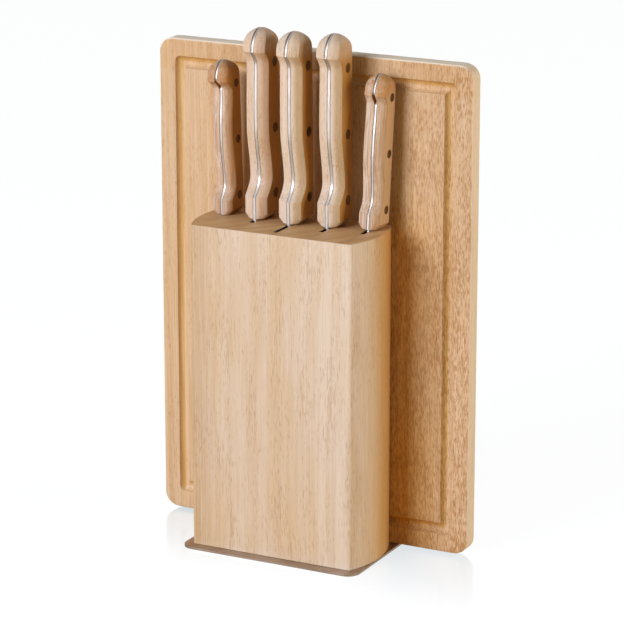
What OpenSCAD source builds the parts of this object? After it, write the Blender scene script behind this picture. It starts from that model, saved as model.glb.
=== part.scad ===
// Upright knife block with five riveted knives, standing on a bent steel base
// whose rear upright also holds a grooved cutting board behind the block.
// Millimetres, +Z up. The front is -Y and the origin is under the middle of the base.

/* [Block] */
// Wood left beside the outer slots on the flat front
cheek_w = 4.4; // [3:0.1:12]
// How far the curved sides stand out past the front's corner edges
bulge = 7; // [3:0.1:12]
// Depth from front to back
block_d = 60; // [58:0.5:80]
// Wood left under the deepest slot
slot_floor = 14.5; // [5:0.5:60]

/* [Slots] */
// Distance from one knife to the next
knife_pitch = 26; // [22:0.5:32]
// Room left on each side of the thickest blade
side_clear = 0.8; // [0.7:0.05:1]
// Room left between a blade and the two ends of its slot
end_clear = 0.9; // [0.5:0.1:1.2]
// Room left under the tip of a blade
tip_clear = 6; // [3:0.5:10]

/* [Base] */
// Thickness of the sheet
plate_t = 1.5; // [1.2:0.1:3]
// How far the sheet's sides lie inside the widest line of the block
plate_side = 0.2; // [-10:0.2:10]
// How far the sheet stands out in front of the block
plate_lip = 7; // [3:0.5:15]
// Radius of the sheet's corners
plate_r = 8.5; // [3:0.5:15]
// Height of the rear upright
upright_h = 70; // [40:1:120]
// Distance between the screws from front to back
screw_span = 30; // [20:1:40]
// Diameter of a screw's shank
screw_d = 3.4; // [3:0.1:4]
// Length of a screw's shank inside the wood
screw_l = 15; // [8:0.5:30]

/* [Cutting board] */
// Width of the board
board_w = 230; // [200:1:260]
// Height of the board
board_h = 330; // [280:1:380]
// Thickness of the board
board_t = 12; // [10:0.5:20]
// Radius of the board's corners
board_r = 10; // [4:0.5:20]
// Width of the juice groove
groove_w = 8; // [7:0.5:10]
// Depth of the juice groove
groove_depth = 3; // [1.5:0.1:3.5]
// Distance from the board's edge to the groove
groove_inset = 12; // [11:0.5:20]
// Gap between the block and the board
board_front_gap = 1; // [0.8:0.1:3]
// Gap between the board and the rear upright
board_back_gap = 0.5; // [0.4:0.1:2]

/* [Handles] */
// Height of each handle
handle_l = [103, 126.5, 126.5, 126.5, 101.2]; // [95:0.5:135]
// Thickness of each handle
handle_w = [15.2, 16.4, 16.4, 16.4, 15.2]; // [14:0.1:18]
// Height of each foot, up to its edge
foot_l = [10, 15.5, 15.5, 15.5, 10]; // [8:0.5:18]
// Depth of each foot, from spine to belly
foot_d = [18.8, 23.8, 23.8, 23.8, 17.4]; // [17:0.1:26]
// Depth of each handle at the hollow for the finger
neck_d = [13.2, 16.2, 16.2, 16.2, 12.9]; // [12:0.1:17]
// Depth of each grip at its swell
grip_d = [16.1, 20.6, 20.6, 20.6, 15.6]; // [15:0.1:22]
// Depth of each butt at its edge
butt_d = [20.6, 25, 25, 25, 18.3]; // [18:0.1:26]
// Height of each butt above its edge
butt_l = [12.9, 14.5, 14.5, 14.5, 13.6]; // [10:0.1:16]
// Rounding of the handles' long edges
edge_r = 3; // [1.5:0.1:4]
// Bevel at the lower corners of the feet
foot_bevel = 2.8; // [1:0.1:4]
// Height of bare steel between each wooden foot and the bottom of the tang
foot_bare = [0, 0.9, 0.9, 0.9, 0]; // [0:0.1:2]
// Height of each handle's lowest rivet above the edge of its foot
rivet_rise = [1.8, 1.2, 1.2, 1.2, 2.4]; // [0:0.1:4]
// Depth of each handle's highest rivet below the edge of its butt
rivet_drop = [2.6, 7.8, 7.8, 7.8, 1.5]; // [1:0.1:12]
// Diameter of the rivets' heads on each handle
rivet_d = [6, 6.8, 6.8, 6.8, 6]; // [5:0.1:7]
// Diameter of a rivet's shank
shank_d = 4.2; // [3:0.1:4.5]
// Depth of a rivet's head
rivet_head = 3; // [1.5:0.1:4]

/* [Blades] */
// Length of each blade below its handle
blade_l = [115, 200, 200, 200, 75]; // [70:1:200]
// Width of each blade at its heel
blade_w = [16.1, 26.8, 40.6, 30, 18]; // [15:0.1:42]
// Thickness of each blade
blade_t = [1.6, 2, 2, 2, 1.4]; // [1.2:0.1:2.4]
// Height of the plain steel between handle and heel
heel_gap = 10; // [6:0.5:16]
// How far the blade's back lies in front of the handle's back
back_inset = 1.2; // [0.5:0.1:3]

/* [Placing] */
// Distance of each handle's back from the back of the block
back_off = [9.3, 8, 10, 6, 7]; // [4:0.1:12]
// Lean of each knife towards the front, in degrees
lean = [2.3, 0.7, 1.3, 0.5, -3]; // [-3:0.1:3]
// Lean of each knife to the right, in degrees
tilt = [-0.4, 0, 0, 0, 1.4]; // [-1.4:0.1:1.4]
// Gap between a handle's foot and the top of the block
seat_gap = 0.2; // [0.1:0.05:0.4]

/* [Hidden] */
$fn = 96;

knife_count = len(blade_l);
slot_w = max(blade_t) + 2 * side_clear;
total_d = plate_lip + block_d + board_front_gap + board_t + board_back_gap + plate_t;
front_y = plate_lip - total_d / 2;
block_h = max(blade_l) + tip_clear + slot_floor;
block_top = plate_t + block_h;
board_y = front_y + block_d + board_front_gap;
front_w = (knife_count - 1) * knife_pitch + slot_w + 2 * cheek_w;
block_w = front_w + 2 * bulge;
plate_w = block_w - 2 * plate_side;
side_r = (pow(block_d / 2, 2) + pow(bulge, 2)) / (2 * bulge);
stave_count = 5;
stave_w = board_w / stave_count;
groove_r = (pow(groove_w / 2, 2) + pow(groove_depth, 2)) / (2 * groove_depth);
head_d = screw_d + 2 * plate_t;
screw_x = 1.5 * knife_pitch;
// Turns of the two narrow facets that round a handle's long edge
facet_turns = [30, 60];
// Heights on a handle as shares of its length: neck and throat above the foot's edge and
// below the butt's edge, the swell and where it starts to fade from the foot's bottom
neck_share = 0.1;
swell_share = 0.49;
fade_share = 0.56;
throat_share = 0.13;
// How much thinner each throat is than the swell
throat_drop = [2.2, 0.8, 0.8, 0.8, 1.2];
// Shares of the butt's height: its arch seen from the front, and its rise at the back
arch_share = 0.62;
back_share = 0.83;
arc_step = 10;
// Place of the rivets between the back and the swell
rivet_share = 0.45;
// A blade's profile: start and power of the sweep to the tip, width left there, end of the back
bend_share = 0.45;
sweep_power = 2.2;
tip_width_share = 0.06;
back_end_share = 0.93;
// Least step from the front of a foot in to the steel below it
foot_step = 1;
bread = 3;
grind_share = 0.35;
scallop_end_share = 0.6;
edge_t = 0.4;
scallop_pitch = 8;
scallop_r = 6;
scallop_depth = 1.3;
// Play of screws and rivets in their holes, a cut's overshoot, and a length past everything.
fit = 0.05;
over = 1;
reach = 2.4 * max(butt_d);

function spine_y(k) = block_d - back_off[k];
function knife_x(k) = (k - (knife_count - 1) / 2) * knife_pitch;
function slot_front(k) = spine_y(k) - back_inset - blade_w[k] - end_clear
    - max(0, -sin(lean[k])) * blade_l[k];
function slot_back(k) = spine_y(k) - back_inset + end_clear
    + max(0, sin(lean[k])) * blade_l[k];
function slot_depth(k) = blade_l[k] + tip_clear;

// ---- block ----

// Everything to the left of the block's bulging right side
module bulged_side()
    translate([block_w / 2 - side_r, 0])
        union() {
            circle(side_r, $fn = 200);
            translate([-block_w, -block_d]) square([block_w, 2 * block_d]);
        }

module block_blank()
    translate([0, front_y + block_d / 2, plate_t])
        linear_extrude(block_h)
            intersection() {
                square([block_w + over, block_d], center = true);
                bulged_side();
                mirror([1, 0]) bulged_side();
            }

module screws_at()
    for (x = [-screw_x, screw_x], y = [-screw_span, screw_span] / 2)
        translate([x, front_y + block_d / 2 + y, 0]) children();

module block_slab(n) {
    left = n == 0 ? -block_w / 2 - over : knife_x(n - 1) + slot_w / 2;
    right = n == knife_count ? block_w / 2 + over : knife_x(n) - slot_w / 2;
    color("burlywood")
        difference() {
            intersection() {
                block_blank();
                translate([left, front_y - over, 0])
                    cube([right - left, block_d + 2 * over, block_top + over]);
            }
            screws_at() cylinder(h = plate_t + screw_l + fit, d = screw_d + 2 * fit);
        }
}

module slot_spacer(k)
    color("tan")
        difference() {
            intersection() {
                block_blank();
                translate([knife_x(k) - slot_w / 2, front_y - over, 0])
                    cube([slot_w, block_d + 2 * over, block_top + over]);
            }
            translate([knife_x(k) - slot_w, front_y + slot_front(k), block_top - slot_depth(k)])
                cube([2 * slot_w, slot_back(k) - slot_front(k), slot_depth(k) + over]);
        }

// ---- base ----

module rounded(w, h, r)
    union() {
        translate([r - w / 2, 0]) square([w - 2 * r, h]);
        translate([-w / 2, r]) square([w, h - 2 * r]);
        for (x = [r - w / 2, w / 2 - r], y = [r, h - r]) translate([x, y]) circle(r);
    }

module bent_profile() {
    inner_r = board_back_gap;
    outer_r = inner_r + plate_t;
    difference() {
        union() {
            square([total_d - outer_r, plate_t]);
            translate([total_d - plate_t, outer_r]) square([plate_t, upright_h - outer_r]);
            intersection() {
                translate([total_d - outer_r, outer_r]) circle(outer_r);
                translate([total_d - outer_r, 0]) square(outer_r);
            }
        }
        translate([total_d - outer_r, outer_r]) circle(inner_r);
    }
}

module base_plate()
    color("silver")
        difference() {
            intersection() {
                translate([-plate_w / 2, -total_d / 2, 0])
                    rotate([90, 0, 90]) linear_extrude(plate_w) bent_profile();
                translate([0, -total_d / 2, -over])
                    linear_extrude(upright_h + 2 * over) rounded(plate_w, 2 * total_d, plate_r);
                translate([0, total_d / 2 + over, -upright_h])
                    rotate([90, 0, 0])
                        linear_extrude(total_d + 2 * over) rounded(plate_w, 2 * upright_h, plate_r);
            }
            screws_at() translate([0, 0, -over])
                cylinder(h = plate_t + 2 * over, d1 = head_d + 2 * over + 2 * fit,
                         d2 = screw_d - 2 * over + 2 * fit);
            screws_at() translate([0, 0, -over])
                cylinder(h = plate_t + 2 * over, d = screw_d + 2 * fit);
        }

module base_screw() {
    slot = screw_d / 4;
    difference() {
        union() {
            translate([0, 0, fit]) cylinder(h = plate_t - fit, d1 = head_d - 2 * fit, d2 = screw_d);
            translate([0, 0, plate_t]) cylinder(h = screw_l - screw_d, d = screw_d);
            translate([0, 0, plate_t + screw_l - screw_d])
                cylinder(h = screw_d, d1 = screw_d, d2 = screw_d / 4);
        }
        for (a = [0, 90]) rotate(a)
            translate([-screw_d / 2, -slot / 2, -over]) cube([screw_d, slot, plate_t + over]);
    }
}

module base_screws() color("gray") screws_at() base_screw();

// ---- cutting board ----

module groove_run(length) rotate([0, 90, 0]) cylinder(h = length, r = groove_r, center = true);

module juice_groove() {
    across = board_w - 2 * groove_inset;
    up = board_h - 2 * groove_inset;
    middle = plate_t + board_h / 2;
    sink = groove_r - groove_depth;
    for (s = [-1, 1]) {
        translate([0, board_y - sink, middle + s * (up - groove_w) / 2]) groove_run(across);
        translate([s * (across - groove_w) / 2, board_y - sink, middle])
            rotate([0, 90, 0]) groove_run(up);
    }
}

module board_stave(n)
    color("peru")
        difference() {
            intersection() {
                translate([0, board_y + board_t, plate_t])
                    rotate([90, 0, 0]) linear_extrude(board_t) rounded(board_w, board_h, board_r);
                translate([n * stave_w - board_w / 2, board_y - over, 0])
                    cube([stave_w, board_t + 2 * over, plate_t + board_h + over]);
            }
            juice_groove();
        }

// ---- knives ----
// A handle's side outline has its back at y = 0, its belly towards -Y and its foot at z = 0.

function ease(a, b, za, zb, f) =
    [for (i = [1:6]) let (u = i / 6) [-(a + (b - a) * f(u)), za + (zb - za) * u]];

function belly(k) = let (
        foot = foot_d[k],
        neck = neck_d[k],
        grip = grip_d[k],
        butt = butt_d[k],
        throat = grip - throat_drop[k],
        foot_z = foot_l[k],
        neck_z = foot_z + neck_share * handle_l[k],
        swell_z = swell_share * handle_l[k],
        fade_z = fade_share * handle_l[k],
        butt_z = handle_l[k] - butt_l[k],
        throat_z = butt_z - throat_share * handle_l[k]
    ) concat(
        [[-foot, 0], [-foot, foot_z]],
        ease(foot, neck, foot_z, neck_z, function (u) sin(90 * u)),
        ease(neck, grip, neck_z, swell_z, function (u) (1 - cos(180 * u)) / 2),
        ease(grip, throat, fade_z, throat_z, function (u) (1 - cos(180 * u)) / 2),
        ease(throat, butt, throat_z, butt_z, function (u) 1 - cos(90 * u))
    );

function butt_curve(k, from, to) = let (
        half = butt_d[k] / 2,
        top = handle_l[k],
        rise = from < 90 ? butt_l[k] : back_share * butt_l[k]
    ) [for (a = [from:arc_step:to]) [-half - half * cos(a), top - rise * (1 - sin(a))]];

function butt_front(k) = butt_curve(k, arc_step, 90 - arc_step);
function side_outline(k) = concat([[0, 0]], belly(k), butt_front(k), butt_curve(k, 90, 180));
function open_to_back(k) = concat(
    [[reach, 0]], belly(k), butt_front(k), [[-butt_d[k] / 2, handle_l[k]], [reach, handle_l[k]]]
);
function open_to_front(k) = concat(
    [[0, 0], [-reach, 0], [-reach, handle_l[k]]], butt_curve(k, 90, 180)
);

function edge_start(k, turn) = handle_w[k] / 2 - edge_r + edge_r * tan(turn / 2);

// An outline pushed along a level line that is turned away from X and leaves it at x = start.
module pushed(outline, start, turn)
    rotate([0, 0, turn])
        rotate([90, 0, 90])
            translate([0, 0, -reach])
                linear_extrude(2 * reach)
                    polygon([for (p = outline) [p.x * cos(turn) - start * sin(turn), p.y]]);

module rounded_belly(k, turn) pushed(open_to_back(k), edge_start(k, turn), turn);
module rounded_spine(k, turn) pushed(open_to_front(k), edge_start(k, turn), -turn);

module front_outline(k) {
    half = handle_w[k] / 2;
    arch = arch_share * butt_l[k];
    low = foot_bare[k];
    top = handle_l[k];
    polygon(concat(
        [[-over, low], [half - foot_bevel, low], [half, low + foot_bevel]],
        [for (a = [0:arc_step:90]) [half * cos(a), top - arch * (1 - sin(a))]],
        [[-over, top]]
    ));
}

// Three rivets, each a shank with a head at both ends. Play widens them into their holes.
module rivet_set(k, play) {
    half = handle_w[k] / 2;
    low = foot_l[k] + rivet_rise[k];
    high = handle_l[k] - butt_l[k] - rivet_drop[k];
    for (z = [low, (low + high) / 2, high])
        translate([0, -rivet_share * grip_d[k], z]) rotate([0, 90, 0]) {
            cylinder(h = 2 * half - rivet_head, d = shank_d + play, center = true);
            for (s = [-1, 1]) translate([0, 0, s * (half - rivet_head / 2)])
                cylinder(h = rivet_head + play, d = rivet_d[k] + play, center = true);
        }
}

module seated(k)
    translate([
        knife_x(k) + sin(tilt[k]) * blade_l[k] / 2,
        front_y + spine_y(k),
        block_top + seat_gap + foot_d[k] * max(0, sin(lean[k])) + handle_w[k] / 2 * sin(abs(tilt[k]))
    ]) rotate([lean[k], tilt[k], 0]) children();

module scale(k, side) {
    half = handle_w[k] / 2;
    inner = blade_t[k] / 2;
    color("wheat") seated(k)
        difference() {
            mirror([side < 0 ? 1 : 0, 0, 0])
                intersection() {
                    translate([inner, -reach, 0]) cube([half - inner, 2 * reach, handle_l[k]]);
                    pushed(side_outline(k), 0, 0);
                    rounded_belly(k, facet_turns[0]);
                    rounded_belly(k, facet_turns[1]);
                    rounded_spine(k, facet_turns[0]);
                    rounded_spine(k, facet_turns[1]);
                    translate([0, reach, 0]) rotate([90, 0, 0])
                        linear_extrude(2 * reach) front_outline(k);
                }
            rivet_set(k, 2 * fit);
        }
}

module rivets(k) color("saddlebrown") seated(k) rivet_set(k, 0);

// The edge runs straight from the heel and then sweeps up to the tip.
function blade_outline(k) = let (
        back = -back_inset,
        heel = -heel_gap,
        bend = -bend_share * blade_l[k],
        tip = -blade_l[k]
    ) concat(
        [[back, 0], [back, back_end_share * tip]],
        [for (i = [8:-1:0]) let (u = i / 8)
            [back - blade_w[k] * (1 - (1 - tip_width_share) * pow(u, sweep_power)),
             bend + (tip - bend) * u]],
        [[back - blade_w[k], heel], [back - neck_w(k), heel], [back - neck_w(k), 0]]
    );
function neck_w(k) = min(foot_d[k] - foot_step, blade_w[k] + back_inset) - back_inset;

module grind(k) {
    half = blade_t[k] / 2;
    edge = -back_inset - blade_w[k];
    ground = -back_inset - grind_share * blade_w[k];
    polygon([[-half, over], [half, over], [half, ground], [edge_t / 2, edge],
             [-edge_t / 2, edge], [-half, ground]]);
}

module scallops(k)
    for (z = [-heel_gap - scallop_pitch:-scallop_pitch:-scallop_end_share * blade_l[k]])
        translate([0, -back_inset - blade_w[k] - scallop_r + scallop_depth, z])
            rotate([0, 90, 0]) cylinder(h = 2 * blade_t[k], r = scallop_r, center = true);

module blade(k)
    color("gainsboro") seated(k)
        difference() {
            union() {
                translate([-blade_t[k] / 2, 0, 0])
                    rotate([90, 0, 90]) linear_extrude(blade_t[k]) polygon(side_outline(k));
                intersection() {
                    translate([-blade_t[k] / 2, 0, 0])
                        rotate([90, 0, 90]) linear_extrude(blade_t[k]) polygon(blade_outline(k));
                    translate([0, 0, -2 * blade_l[k]])
                        linear_extrude(2 * blade_l[k] + over) grind(k);
                }
            }
            rivet_set(k, 2 * fit);
            if (k == bread) scallops(k);
        }

block_slab(0);  // block_slab_1
block_slab(1);  // block_slab_2
block_slab(2);  // block_slab_3
block_slab(3);  // block_slab_4
block_slab(4);  // block_slab_5
block_slab(5);  // block_slab_6
slot_spacer(0);  // slot_spacer_1
slot_spacer(1);  // slot_spacer_2
slot_spacer(2);  // slot_spacer_3
slot_spacer(3);  // slot_spacer_4
slot_spacer(4);  // slot_spacer_5
base_plate();
base_screws();
board_stave(0);  // board_stave_1
board_stave(1);  // board_stave_2
board_stave(2);  // board_stave_3
board_stave(3);  // board_stave_4
board_stave(4);  // board_stave_5
blade(0);  // utility_blade
scale(0, -1);  // utility_scale_left
scale(0, 1);  // utility_scale_right
rivets(0);  // utility_rivets
blade(1);  // carving_blade
scale(1, -1);  // carving_scale_left
scale(1, 1);  // carving_scale_right
rivets(1);  // carving_rivets
blade(2);  // chef_blade
scale(2, -1);  // chef_scale_left
scale(2, 1);  // chef_scale_right
rivets(2);  // chef_rivets
blade(3);  // bread_blade
scale(3, -1);  // bread_scale_left
scale(3, 1);  // bread_scale_right
rivets(3);  // bread_rivets
blade(4);  // paring_blade
scale(4, -1);  // paring_scale_left
scale(4, 1);  // paring_scale_right
rivets(4);  // paring_rivets
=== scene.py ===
import bmesh
import bpy
import math
import numpy as np
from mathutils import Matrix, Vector


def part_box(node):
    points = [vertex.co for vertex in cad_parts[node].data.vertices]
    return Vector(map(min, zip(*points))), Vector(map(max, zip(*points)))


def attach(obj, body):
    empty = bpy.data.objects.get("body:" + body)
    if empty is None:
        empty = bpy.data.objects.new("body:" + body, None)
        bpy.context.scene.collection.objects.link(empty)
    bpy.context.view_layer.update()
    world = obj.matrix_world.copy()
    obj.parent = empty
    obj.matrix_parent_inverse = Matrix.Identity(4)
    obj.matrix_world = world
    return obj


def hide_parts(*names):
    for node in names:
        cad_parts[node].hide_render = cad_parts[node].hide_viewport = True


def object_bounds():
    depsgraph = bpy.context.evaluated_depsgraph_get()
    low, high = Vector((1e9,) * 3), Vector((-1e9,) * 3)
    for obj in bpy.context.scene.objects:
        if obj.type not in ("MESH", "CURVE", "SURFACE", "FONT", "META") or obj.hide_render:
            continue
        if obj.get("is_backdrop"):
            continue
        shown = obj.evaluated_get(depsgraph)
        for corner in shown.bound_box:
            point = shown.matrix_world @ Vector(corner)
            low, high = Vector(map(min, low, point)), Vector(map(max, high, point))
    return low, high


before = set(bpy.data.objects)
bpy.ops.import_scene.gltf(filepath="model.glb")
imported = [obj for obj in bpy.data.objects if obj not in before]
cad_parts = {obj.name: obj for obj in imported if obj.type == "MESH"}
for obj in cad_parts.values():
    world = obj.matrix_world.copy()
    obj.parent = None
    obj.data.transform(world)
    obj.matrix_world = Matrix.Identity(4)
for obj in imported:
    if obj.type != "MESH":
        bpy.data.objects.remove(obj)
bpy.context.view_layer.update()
mm = 0.001


# meshes from arrays of points, all in millimetres until the mesh is made

def stripQuads(rows, columns, loop=False):
    # quads between neighbouring rows and columns of a grid of points, row by row
    i, j = np.meshgrid(np.arange(rows - 1), np.arange(columns if loop else columns - 1),
                       indexing="ij")
    k = (j + 1) % columns
    return np.stack([i * columns + j, i * columns + k, (i + 1) * columns + k,
                     (i + 1) * columns + j], -1).reshape(-1, 4).tolist()


def makePiece(name, points, faces, sharp=25, local=None, shift=(0, 0, 0)):
    # local is (turn, place): the piece's own frame, in which its wood grain runs along z
    points = np.asarray(points, float).reshape(-1, 3)
    mesh = bpy.data.meshes.new(name)
    mesh.from_pydata((points * mm).tolist(), [], faces)
    work = bmesh.new()
    work.from_mesh(mesh)
    bmesh.ops.remove_doubles(work, verts=work.verts, dist=2e-6)
    bmesh.ops.dissolve_degenerate(work, edges=work.edges, dist=1e-7)
    bmesh.ops.recalc_face_normals(work, faces=work.faces)
    work.to_mesh(mesh)
    work.free()
    mesh.shade_smooth()
    mesh.set_sharp_from_angle(angle=math.radians(sharp))
    spots = np.zeros(len(mesh.vertices) * 3, np.float32)
    mesh.vertices.foreach_get("co", spots)
    spots = spots.reshape(-1, 3) / mm
    turn, place = local if local else (np.eye(3), np.zeros(3))
    own = (spots - place) @ turn
    for label, values in (("local", own), ("grain", own + np.array(shift))):
        store = mesh.attributes.new(label, "FLOAT_VECTOR", "POINT").data
        store.foreach_set("vector", values.astype(np.float32).ravel())
    piece = bpy.data.objects.new(name, mesh)
    bpy.context.scene.collection.objects.link(piece)
    return piece


def settle(piece, body, slot, finish, *nodes):
    # puts a finished piece on its body in the place of its CAD nodes
    piece.data.materials.clear()
    piece.data.materials.append(finish)
    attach(piece, body)
    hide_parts(*nodes)


def corners(node):
    # a CAD node's box in millimetres
    low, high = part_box(node)
    return np.array(low) / mm, np.array(high) / mm


def angles(start, end, count):
    return np.radians(np.linspace(start, end, count))


def leg(long, short):
    # the third side of a right-angled triangle, or 0 where there is none
    return np.sqrt(np.clip(long ** 2 - short ** 2, 0, None))


def roundedCorner(centre, radius, start, end, count):
    # points of an arc about centre, from one angle in degrees to another
    a = angles(start, end, count)
    return np.stack([centre[0] + radius * np.cos(a), centre[1] + radius * np.sin(a)], -1)


# node trees written as sums

class Wire:
    # a socket that can stand in a sum, which adds the Math nodes
    def __init__(self, finish, socket):
        self.finish, self.socket = finish, socket

    def __abs__(self):
        return maths("ABSOLUTE")(self, 0)


def maths(operation, turned=False):
    def result(first, second):
        values = {0: second, 1: first} if turned else {0: first, 1: second}
        return first.finish.add("ShaderNodeMath", {"operation": operation}, values)
    return result


for sign, operation in (("add", "ADD"), ("sub", "SUBTRACT"), ("mul", "MULTIPLY"),
                        ("truediv", "DIVIDE"), ("pow", "POWER")):
    setattr(Wire, f"__{sign}__", maths(operation))
    setattr(Wire, f"__r{sign}__", maths(operation, True))


class Finish:
    # one material or world, its settings and its node tree
    def __init__(self, name, settings, world=False):
        self.settings = settings
        self.block = (bpy.data.worlds if world else bpy.data.materials).new(name)
        self.block.use_nodes = True
        self.tree = self.block.node_tree
        self.tree.nodes.clear()

    def add(self, kind, settings=None, values=None, output=0):
        node = self.tree.nodes.new(kind)
        for key, value in (settings or {}).items():
            setattr(node, key, value)
        for key, value in (values or {}).items():
            if isinstance(value, Wire):
                self.tree.links.new(value.socket, node.inputs[key])
            else:
                node.inputs[key].default_value = value
        self.last = node
        return Wire(self, node.outputs[output]) if len(node.outputs) else None

    def parts(self, vector):
        self.add("ShaderNodeSeparateXYZ", {}, {0: vector})
        return [Wire(self, socket) for socket in self.last.outputs]

    def join(self, x, y, z):
        return self.add("ShaderNodeCombineXYZ", {}, {0: x, 1: y, 2: z})

    def stretch(self, vector, *sizes):
        # divides each coordinate by the size of the pattern that way
        return self.add("ShaderNodeVectorMath", {"operation": "DIVIDE"}, {0: vector, 1: sizes})

    def noise(self, place, name, detail, rough=0.5):
        place = self.stretch(place, *self.settings[name])
        return self.add("ShaderNodeTexNoise", {"noise_dimensions": "3D"},
                        {"Vector": place, "Scale": 1, "Detail": detail, "Roughness": rough})

    def line(self, value, detail, rough):
        return self.add("ShaderNodeTexNoise", {"noise_dimensions": "1D"},
                        {"W": value, "Scale": 1, "Detail": detail, "Roughness": rough})

    def step(self, *pairs):
        # pairs of a value and the name of its range, over which it goes softly from 0 to 1; a
        # range may run downwards, and the steps of several pairs are multiplied
        steps = []
        for value, name in zip(pairs[::2], pairs[1::2]):
            start, end = self.settings[name]
            steps.append(self.add("ShaderNodeMapRange", {"interpolation_type": "SMOOTHSTEP"},
                                  {"Value": value, "From Min": start, "From Max": end}))
        return math.prod(steps[1:], start=steps[0])

    def mix(self, share, first, second, blend="MIX"):
        # a name stands for a screen colour in the settings
        first, second = (tone(*self.settings[c]) if isinstance(c, str) else c
                         for c in (first, second))
        return self.add("ShaderNodeMix", {"data_type": "RGBA", "blend_type": blend},
                        {0: share, 6: first, 7: second}, 2)

    def lay(self, share, name, blend="MIX"):
        # lays a named colour over the colour so far
        self.colour = self.mix(share, self.colour, name, blend)

    def attribute(self, name):
        return self.add("ShaderNodeAttribute", {"attribute_name": name}, {}, "Vector")

    def surface(self, height, values):
        s = self.settings
        bump = self.add("ShaderNodeBump", {}, {
            "Height": height, "Distance": s["reliefHeight"], "Strength": s["relief"]})
        shader = self.add("ShaderNodeBsdfPrincipled", {}, {**values, "Normal": bump})
        self.add("ShaderNodeOutputMaterial", {}, {0: shader})
        return self.block


def tone(red, green, blue):
    # a screen colour from 0 to 255 as light
    share = np.array([red, green, blue]) / 255
    light = np.where(share <= 0.04045, share / 12.92, ((share + 0.055) / 1.055) ** 2.4)
    return (*light.tolist(), 1)


def woodFinish(name, s, under=None, within=None, over=None):
    # under, within and over lay a piece's own stains below, among and above the fine grain;
    # f keeps the places and patterns that they use
    f = Finish(name, s)
    grain = f.attribute("grain")
    x, y, z = f.parts(grain)
    # the fibres lean a little, and wander slowly along the board
    wander = f.noise(grain, "bend", 2) - 0.5
    across = x + z * s["slant"] + wander * s["wander"]
    fibre = f.fibre = f.join(across, y + wander * s["wander"], z)
    # growth rings about a heart far outside the piece: distance from it, bent by the wander
    heartX, heartY = s["heart"]
    fromHeart = ((across - heartX) ** 2 + (y - heartY) ** 2) ** 0.5 + wander * s["ringBend"]
    rings = f.rings = f.line(fromHeart / s["ring"], 3, 0.62)
    flush = f.noise(fibre, "flush", 2, 0.6)
    streak = f.streak = f.noise(fibre, "streak", 2, 0.55)
    hair = f.noise(fibre, "hair", 1)
    silver = f.noise(fibre, "silver", 2, 0.6)
    f.flat, _, f.up = f.parts(f.add("ShaderNodeNewGeometry", {}, {}, "Normal"))
    f.u, f.v, f.w = f.parts(f.attribute("local"))
    # some staves are cut across the pores and show far more of them
    f.thick = f.outer = 0
    if "thick" in s:
        f.thick, f.outer = f.step(f.u, "thick"), f.step(f.u, "outer")
    # pores are short dashes, thick in some bands and rare in others; mineral streaks are
    # longer, darker and rarer still
    crowd = f.noise(fibre, "crowd", 1.5) + (rings - 0.5) * s["ringCrowding"]
    fleck = f.noise(fibre, "fleck", 1)
    fleck = fleck + (crowd - 0.5) * s["crowding"] + f.thick * s["thicker"]
    pores = f.pores = f.step(fleck, "poreSteps")
    long = f.noise(fibre, "mark", 1.5)
    marks = f.step(long + (crowd - 0.5) * s["markCrowding"], "markSteps")
    f.colour = f.mix(f.step(flush, "flushSteps"), "pink", "gold")
    if under:
        under(f, s)
    for pattern, layer, shade in ((silver, "silver", "pale"), (rings, "ring", "tan"),
                                  (streak, "streak", "deep"), (hair, "hair", "deep")):
        f.lay(f.step(pattern, layer + "Steps") * s[layer + "Share"], shade)
    if within:
        within(f, s)
    pierced = s["poreShare"] + f.thick * s["thickPores"] + f.outer * s["outerPores"]
    f.lay(pores * pierced, "pore")
    f.lay(marks * s["markShare"], "dark")
    if over:
        over(f, s)
    height = hair * s["hairHigh"] + streak * s["streakHigh"]
    height = height - pores * s["poreDeep"] - marks * s["poreDeep"]
    rough = s["rough"] + (hair - 0.5) * s["hairRough"] + pores * s["poreRough"]
    return f.surface(height, {
        "Base Color": f.colour, "Roughness": rough, "Coat Weight": s["coat"],
        "Coat Roughness": s["coatRough"], "Specular IOR Level": s["shine"]})


# In these settings a name alone gives the size of a pattern across, through and along the wood,
# its Steps where it sets in and where it is full, and its Share how much it counts. Ranges of
# places are in millimetres, in the frame of the block and board or of one knife. Colours run
# from 0 to 255.
woodBasics = {
    "slant": 0, "bend": (38, 38, 150), "wander": 2.5,
    "heart": (-160, 90), "ring": 7, "ringBend": 14, "ringSteps": (0.35, 0.75), "ringShare": 0.5,
    "flush": (11, 11, 170), "flushSteps": (0.3, 0.7),
    "streak": (1.1, 1.1, 70), "streakSteps": (0.38, 0.75), "streakShare": 0.2,
    "hair": (0.5, 0.5, 18), "hairSteps": (0.3, 0.8), "hairShare": 0.2,
    "silver": (2.6, 2.6, 80), "silverSteps": (0.5, 0.72), "silverShare": 0.2,
    "crowd": (12, 12, 45), "ringCrowding": 0.45, "crowding": 0.45, "markCrowding": 0.3,
    "fleck": (0.7, 0.7, 6), "poreSteps": (0.57, 0.71), "poreShare": 0.34,
    "mark": (1.1, 1.1, 13), "markSteps": (0.73, 0.85), "markShare": 0.75,
    "thicker": 0.05, "thickPores": 0.2, "outerPores": 0.16,
    "hairHigh": 0.25, "streakHigh": 0.3, "poreDeep": 0.5, "relief": 0.4,
    "reliefHeight": 0.12 * mm, "rough": 0.5, "hairRough": 0.12, "poreRough": 0.1,
    "coat": 0.04, "coatRough": 0.34, "shine": 0.22,
    "pale": (236, 221, 204), "pink": (229, 209, 188), "gold": (222, 196, 163),
    "tan": (211, 181, 142), "deep": (194, 156, 112), "pore": (174, 130, 82),
    "dark": (146, 88, 46),
}


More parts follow.
